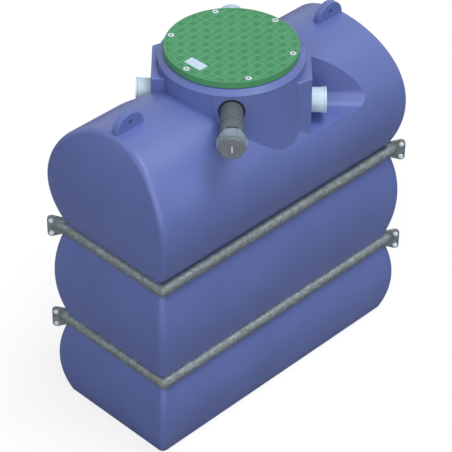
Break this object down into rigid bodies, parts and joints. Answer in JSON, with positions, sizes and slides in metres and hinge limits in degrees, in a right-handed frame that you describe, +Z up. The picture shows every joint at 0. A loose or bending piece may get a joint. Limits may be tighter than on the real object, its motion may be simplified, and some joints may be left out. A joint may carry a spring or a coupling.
{
  "type": "grease separator",
  "caption": "Free-standing moulded grease separator tank of three bulging lobes with tube frames, pipe stubs and a screwed access cover.",
  "frame": {"origin": "middle of the flat base, which stands on the floor", "axes": "+X along the long side of the tank, +Y across it, +Z up; the picture is taken from -X, -Y and above"},
  "size_m": [1.7532, 0.9298, 1.9145],
  "materials": {
    "tank_moulding": "blue-violet moulded polyethylene, fine matt skin",
    "cover_green": "green moulded composite with a tread pattern",
    "galvanised_steel": "hot-dip galvanised, mottled",
    "pipe_pale": "pale blue-white extruded plastic",
    "suction_grey": "dark grey extruded plastic",
    "coupling_grey": "mid grey moulded plastic",
    "seal_rubber": "black rubber",
    "label_white": "plain white plate"
  },
  "bodies": {
    "root": {"access_cover": "cover_green", "cover_gasket": "seal_rubber", "inlet_pipe": "pipe_pale", "inlet_seal": "seal_rubber", "inlet_wing": "tank_moulding", "label_plate": "label_white", "left_lifting_eye": "tank_moulding", "left_roof": "tank_moulding", "lower_back_wall": "tank_moulding", "lower_far_frame": "galvanised_steel", "lower_front_wall": "tank_moulding", "lower_left_end": "tank_moulding", "lower_near_frame": "galvanised_steel", "lower_right_end": "tank_moulding", "middle_back_wall": "tank_moulding", "middle_front_wall": "tank_moulding", "middle_left_end": "tank_moulding", "middle_right_end": "tank_moulding", "neck_back": "tank_moulding", "neck_collar": "tank_moulding", "neck_front": "tank_moulding", "neck_left": "tank_moulding", "neck_right": "tank_moulding", "outlet_pipe": "pipe_pale", "outlet_seal": "seal_rubber", "outlet_wing": "tank_moulding", "right_lifting_eye": "tank_moulding", "right_roof": "tank_moulding", "suction_cap": "coupling_grey", "suction_nut": "coupling_grey", "suction_pipe": "suction_grey", "suction_seal": "seal_rubber", "suction_socket": "suction_grey", "tank_floor": "tank_moulding", "upper_back_wall": "tank_moulding", "upper_far_frame": "galvanised_steel", "upper_front_wall": "tank_moulding", "upper_left_end": "tank_moulding", "upper_near_frame": "galvanised_steel", "upper_right_end": "tank_moulding", "vent_pipe": "pipe_pale", "vent_seal": "seal_rubber"}
  },
  "joints": []
}
